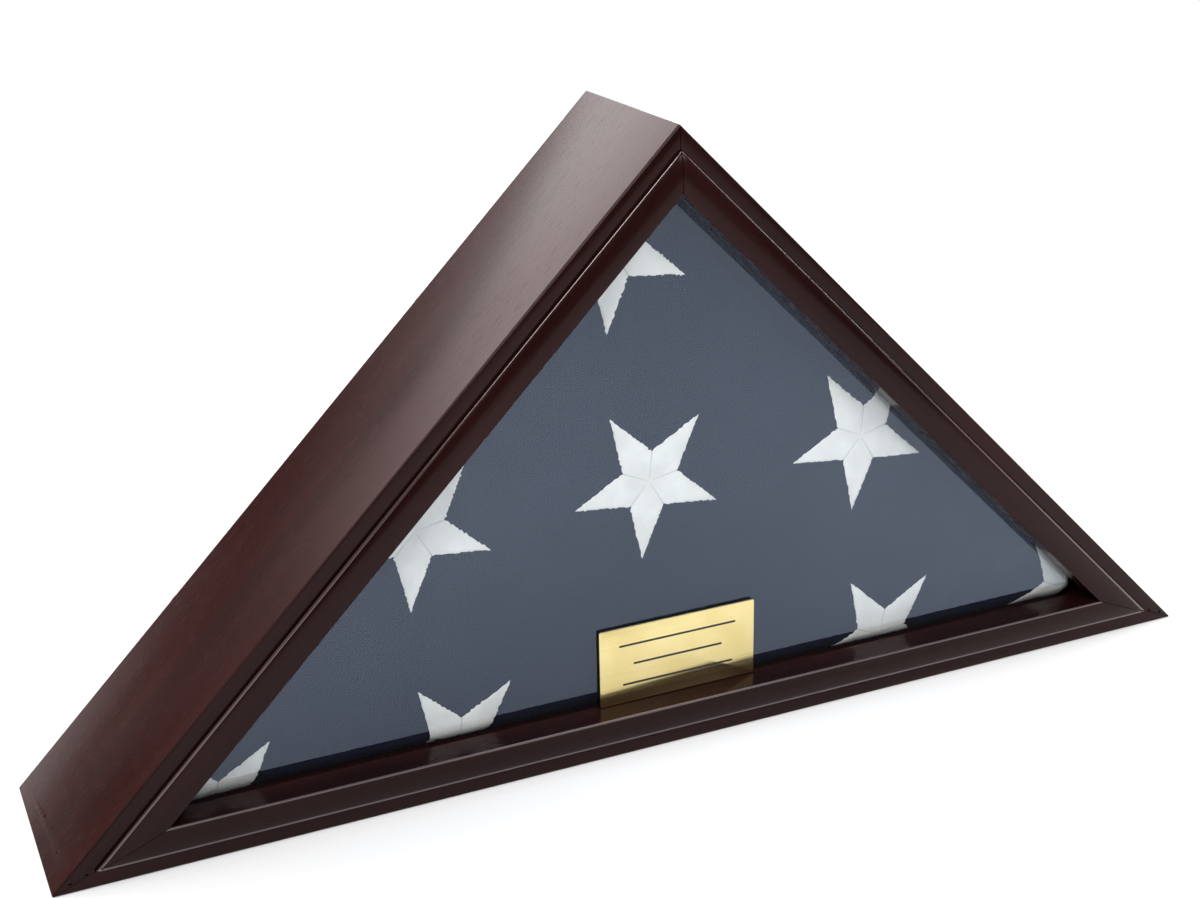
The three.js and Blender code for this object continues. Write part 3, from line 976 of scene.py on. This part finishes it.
def make_flag():
    mesh, low, high = swollen_flag()
    mesh = finish_flag(mesh, low, high)
    flag = make_object("flag", mesh, bunting_material(), nodes=["folded_flag"])
    surface = BVHTree.FromPolygons(
        [v.co.copy() for v in mesh.vertices], [tuple(p.vertices) for p in mesh.polygons]
    )
    thread = embroidery_material()
    for number, (across, down) in enumerate(STAR_PLACES, 1):
        centre = STAR_ORIGIN + STAR_ROW * across + STAR_COLUMN * down
        star = star_mesh(number, centre, surface, low.y)
        make_object(f"embroidered_star_{number}", star, thread)


# ---- Plaque ----


def plate_mesh(name, node, corner, ease):
    """A thin upright plate as big as a node's box, with round corners and eased edges."""
    low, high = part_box(node)
    front = [(low.y + ease, 0), (low.y + ease * 0.3, ease * 0.3), (low.y, ease)]
    layers = [(high.y, ease), (high.y - ease, 0)] + front
    rings = []
    for y, shrink in layers:
        ring = []
        for cx, cz, start in [
            (high.x - corner, high.z - corner, 0),
            (low.x + corner, high.z - corner, 90),
            (low.x + corner, low.z + corner, 180),
            (high.x - corner, low.z + corner, 270),
        ]:
            for i in range(7):
                angle = math.radians(start + 90 * i / 6)
                reach = corner - shrink
                ring.append(Vector((cx + reach * math.cos(angle), y, cz + reach * math.sin(angle))))
        rings.append(ring)
    count = len(rings[0])
    vertices = [v for ring in rings for v in ring]
    faces = [tuple(range(count)), tuple((len(rings) - 1) * count + i for i in range(count))]
    faces += ring_faces(len(rings), count)
    mesh = mesh_from(name, vertices, faces)
    point_outward(mesh)
    smooth(mesh, 35)
    return mesh


RULE_HEIGHT = 1.2 * MM
RULE_PLACES = [(0.24, 0.74), (0.5, 0.56), (0.76, 0.7)]


def rules_mesh(low, high):
    """Three plain rules with round ends, engraved across the plate and filled with enamel."""
    width = high.x - low.x
    height = high.z - low.z
    middle = (low.x + high.x) / 2
    vertices, faces = [], []
    for down, share in RULE_PLACES:
        z = high.z - height * down
        reach = width * share / 2
        half = RULE_HEIGHT / 2
        outline = []
        for side in (1, -1):
            for i in range(9):
                angle = math.pi / 2 - math.pi * i / 8
                outline.append((side * (reach + half * math.cos(angle)), side * half * math.sin(angle)))
        for y in (low.y + 0.3 * MM, low.y - 0.02 * MM):
            vertices += [Vector((middle + x, y, z + up)) for x, up in outline]
        count = len(outline)
        base = len(vertices) - 2 * count
        faces.append(tuple(base + i for i in range(count)))
        faces.append(tuple(base + count + i for i in range(count)))
        for i in range(count):
            j = (i + 1) % count
            faces.append((base + i, base + j, base + count + j, base + count + i))
    mesh = mesh_from("plaque_rules", vertices, faces)
    point_outward(mesh)
    return mesh


def make_plaque():
    brass = brushed_metal("brushed_brass", (0.73, 0.615, 0.305), (0.68, 0.56, 0.25), 0.19)
    plate = plate_mesh("plaque_face", "plaque_plate", 1.0 * MM, 0.15 * MM)
    make_object("plaque_face", plate, brass, nodes=["plaque_plate"])
    foam = plate_mesh("plaque_foam", "plaque_backing", 0.8 * MM, 0.1 * MM)
    make_object("plaque_foam", foam, foam_material(), nodes=["plaque_backing"])
    low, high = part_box("plaque_plate")
    make_object("plaque_rules", rules_mesh(low, high), enamel_material())


# ---- Back panel hardware ----

BUTTON_WIDE = 4.5 * MM
BUTTON_NARROW = 3.6 * MM
BUTTON_REACH = 17 * MM
BUTTON_HOLE = 1.7 * MM
BUTTON_THICKNESS = 1.5 * MM
HEAD_RADIUS = 2.9 * MM
HEAD_HEIGHT = 1.8 * MM
RECESS_LENGTH = 3.3 * MM
RECESS_WIDTH = 0.75 * MM
RECESS_DEPTH = 2.4 * MM
EVEN_SCRATCHES = (300, 300, 300)


def button_outline(shrink):
    """Points round a turn button: a wide end about its pivot, a narrow end at its reach, and straight sides.

    The sides' points lie at even angles from the pivot, so that a hole made in the same directions is round.
    """
    wide = BUTTON_WIDE - shrink
    narrow = BUTTON_NARROW - shrink
    corner = math.atan2(narrow, BUTTON_REACH)
    side = []
    for i in range(1, 6):
        angle = corner + (math.pi / 2 - corner) * i / 6
        across = wide / (math.tan(angle) + (wide - narrow) / BUTTON_REACH)
        side.append(Vector((across, across * math.tan(angle))))
    points = []
    for i in range(25):
        angle = math.pi / 2 + math.pi * i / 24
        points.append(Vector((wide * math.cos(angle), wide * math.sin(angle))))
    points += [Vector((p.x, -p.y)) for p in reversed(side)]
    for i in range(25):
        angle = -math.pi / 2 + math.pi * i / 24
        points.append(Vector((BUTTON_REACH + narrow * math.cos(angle), narrow * math.sin(angle))))
    points += side
    return points


def button_mesh(name, pivot, low_y, inward):
    """A stamped turn button: rolled edges, a rim round its hole, and a shallow dish along its finger."""
    ease = 0.35 * MM
    top = BUTTON_THICKNESS

    def hole(radius):
        return [p.normalized() * radius for p in button_outline(0)]

    def blend_rings(share):
        return [a.lerp(b, share) for a, b in zip(hole(BUTTON_HOLE + 1.1 * MM), button_outline(ease))]

    rings = [
        (hole(BUTTON_HOLE), 0),
        (button_outline(ease * 0.5), 0),
        (button_outline(0), ease * 0.6),
        (button_outline(0), top - ease),
        (button_outline(ease * 0.35), top - ease * 0.3),
        (button_outline(ease), top),
        (blend_rings(0.8), top),
        (blend_rings(0.6), top - 0.22 * MM),
        (blend_rings(0.3), top - 0.25 * MM),
        (blend_rings(0.1), top - 0.05 * MM),
        (hole(BUTTON_HOLE + 0.8 * MM), top),
        (hole(BUTTON_HOLE + 0.2 * MM), top),
        (hole(BUTTON_HOLE), top - 0.2 * MM),
    ]
    side_way = Vector((0, 1, 0)).cross(inward)
    vertices = []
    for ring, height in rings:
        for p in ring:
            vertices.append(pivot + Vector((0, low_y + height, 0)) + inward * p.x + side_way * p.y)
    mesh = mesh_from(name, vertices, ring_faces(len(rings), len(rings[0][0]), closed=True))
    point_outward(mesh)
    smooth(mesh, 40)
    return mesh


def screw_mesh(name, place, low_y, high_y, turn):
    """A round-head wood screw along Y: a domed head with a cross recess, a shank and a pointed thread."""
    seat = high_y - HEAD_HEIGHT
    core, crest, pitch = 1.0 * MM, 1.35 * MM, 1.1 * MM
    profile = [(0.0, low_y)]
    threads = int((seat - low_y - 5 * MM) / pitch)
    for i in range(threads):
        y = low_y + 2.0 * MM + i * pitch
        taper = min(1, (i + 1) / 4)
        profile += [(core * taper, y), (crest * taper, y + pitch * 0.45), (core * taper, y + pitch * 0.8)]
    rim = 0.1 * MM
    profile += [(crest, seat - 3 * MM), (crest, seat), (HEAD_RADIUS - rim, seat), (HEAD_RADIUS, seat + rim)]
    for i in range(1, 9):
        angle = i / 8 * math.pi / 2
        height = seat + rim + (HEAD_HEIGHT - rim) * math.sin(angle)
        profile.append((HEAD_RADIUS * math.cos(angle), height))
    segments = 28
    vertices = []
    for radius, y in profile[1:-1]:
        for i in range(segments):
            angle = math.tau * i / segments
            vertices.append(place + Vector((radius * math.cos(angle), y, radius * math.sin(angle))))
    first, last = len(vertices), len(vertices) + 1
    vertices += [place + Vector((0, profile[0][1], 0)), place + Vector((0, profile[-1][1], 0))]
    rows = len(profile) - 2
    faces = ring_faces(rows, segments)
    for i in range(segments):
        j = (i + 1) % segments
        faces.append((first, j, i))
        faces.append((last, (rows - 1) * segments + i, (rows - 1) * segments + j))
    mesh = mesh_from(name, vertices, faces)
    point_outward(mesh)
    cutters = []
    for angle in (turn, turn + math.pi / 2):
        work = bmesh.new()
        bmesh.ops.create_cube(work, size=1)
        for v in work.verts:
            wide = 1.0 if v.co.y > 0 else 0.45
            v.co.x *= RECESS_LENGTH * wide
            v.co.y *= RECESS_DEPTH
            v.co.z *= RECESS_WIDTH * (0.6 + 0.4 * wide)
        spin = Matrix.Rotation(angle, 4, "Y")
        shift = Matrix.Translation(place + Vector((0, high_y + 0.1 * MM, 0)))
        bmesh.ops.transform(work, matrix=shift @ spin, verts=work.verts)
        cutter = bpy.data.meshes.new("recess")
        work.to_mesh(cutter)
        work.free()
        cutters.append(cutter)
    return cut_away(mesh, cutters, 40)


def make_hardware():
    random.seed(7)
    zinc = brushed_metal("yellow_zinc", (0.62, 0.50, 0.26), (0.50, 0.42, 0.25), 0.3, EVEN_SCRATCHES, 0.5)
    steel = brushed_metal("bright_steel", (0.60, 0.59, 0.57), (0.46, 0.45, 0.44), 0.3, EVEN_SCRATCHES, 0.4)
    for side in SIDES:
        for number in (1, 2):
            body = f"button_{side}_{number}"
            place, low, high = screw_place(side, number)
            button_node = f"turn_button_{side}_{number}"
            button_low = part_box(button_node)[0].y
            button = button_mesh(f"stamped_{button_node}", place, button_low, side_inward(side))
            make_object(f"stamped_{button_node}", button, zinc, body, [button_node])
            screw_node = f"button_screw_{side}_{number}"
            screw = screw_mesh(f"cross_{screw_node}", place, low, high, random.uniform(0, math.pi / 2))
            make_object(f"cross_{screw_node}", screw, steel, "case", [screw_node])
    stained = brushed_metal(
        "stained_steel", (0.050, 0.032, 0.030), (0.030, 0.020, 0.019), 0.4, EVEN_SCRATCHES, 0.5
    )
    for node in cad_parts:
        if "_brad_" in node:
            dress_cad(node, stained, 0.1 * MM)


# ---- Glass, panel and lining ----


def make_sheets():
    dress_cad("glass_pane", glass_material(), 0.3 * MM)
    dress_cad("back_panel", hardboard_material(), 0.4 * MM)
    dress_cad("panel_lining", felt_material(), 0.2 * MM)


# ---- Camera, light and floor ----

# The photo's viewpoint, found from the case's corners.
CAMERA_PLACE = Vector((-0.38005, -0.80509, 0.48397))
CAMERA_AZIMUTH = math.radians(-24.08)
CAMERA_ELEVATION = math.radians(20.83)
CAMERA_ROLL = math.radians(-1.214)
CAMERA_LENS = 54.668


def make_camera():
    data = bpy.data.cameras.new("camera")
    data.lens = CAMERA_LENS
    data.sensor_width = 36
    data.clip_start = 0.01
    camera = bpy.data.objects.new("camera", data)
    bpy.context.scene.collection.objects.link(camera)
    level = math.cos(CAMERA_ELEVATION)
    back = Vector((
        math.sin(CAMERA_AZIMUTH) * level,
        -math.cos(CAMERA_AZIMUTH) * level,
        math.sin(CAMERA_ELEVATION),
    ))
    right = Vector((0, 0, 1)).cross(back).normalized()
    up = back.cross(right)
    turned_right = right * math.cos(CAMERA_ROLL) + up * math.sin(CAMERA_ROLL)
    turned_up = up * math.cos(CAMERA_ROLL) - right * math.sin(CAMERA_ROLL)
    turn = Matrix((turned_right, turned_up, back)).transposed().to_4x4()
    camera.matrix_world = Matrix.Translation(CAMERA_PLACE) @ turn
    bpy.context.scene.camera = camera


def make_area_light(name, place, target, width, height, radiance, tint=(1, 1, 1)):
    """A soft box: radiance is how bright its face looks."""
    data = bpy.data.lights.new(name, "AREA")
    data.shape = "RECTANGLE"
    data.size = width
    data.size_y = height
    data.energy = radiance * math.pi * width * height
    data.color = tint
    light = bpy.data.objects.new(name, data)
    bpy.context.scene.collection.objects.link(light)
    light.location = place
    light.rotation_euler = (Vector(target) - Vector(place)).to_track_quat("-Z", "Y").to_euler()


def make_world():
    """A pale dome that is bright overhead and dim near the horizon, in front of a white backdrop."""
    world = bpy.data.worlds.new("studio")
    bpy.context.scene.world = world
    world.use_nodes = True
    tree = world.node_tree
    tree.nodes.clear()
    join = tree.links.new

    def node(kind):
        return tree.nodes.new("ShaderNode" + kind)

    split = node("SeparateXYZ")
    join(node("TexCoord").outputs["Generated"], split.inputs[0])
    rise = node("MapRange")
    rise.interpolation_type = "SMOOTHSTEP"
    for key, value in {"From Min": 0.10, "From Max": 0.58, "To Min": 0.05, "To Max": 1.3}.items():
        rise.inputs[key].default_value = value
    join(split.outputs["Z"], rise.inputs["Value"])
    dome = node("Background")
    join(rise.outputs["Result"], dome.inputs["Strength"])
    backdrop = node("Background")
    backdrop.inputs["Color"].default_value = colour(1.0, 1.0, 1.0)
    backdrop.inputs["Strength"].default_value = 1.0
    both = node("MixShader")
    join(node("LightPath").outputs["Is Camera Ray"], both.inputs[0])
    join(dome.outputs[0], both.inputs[1])
    join(backdrop.outputs[0], both.inputs[2])
    join(both.outputs[0], node("OutputWorld").inputs["Surface"])


FLOOR_SIDE = 3.2
FLOOR_GAP = 0.2 * MM


def make_floor():
    bpy.ops.mesh.primitive_grid_add(
        x_subdivisions=8, y_subdivisions=8, size=FLOOR_SIDE, location=(0, 0, -FLOOR_GAP)
    )
    floor = bpy.context.object
    floor.name = "floor"
    floor.data.materials.append(floor_material())


def make_studio():
    make_world()
    make_floor()
    make_area_light("rim_box", (-0.55, 1.75, 1.35), (-0.1, 0, 0.2), 1.7, 0.9, 3.6, (1.0, 0.93, 0.935))
    make_area_light("key_box", (-1.25, -1.45, 1.95), (0, 0, 0.15), 1.05, 0.85, 10.5)
    make_area_light("fill_box", (0.2, -0.4, 0.52), (0.06, -0.1, 0.08), 0.3, 0.25, 4.2)
    make_area_light("side_box", (2.2, 0.3, 0.75), (0, 0, 0.15), 0.9, 0.5, 9.0)
    bpy.context.scene.view_settings.view_transform = "Standard"


make_camera()
make_wood()
make_sheets()
make_flag()
make_plaque()
make_hardware()
make_studio()
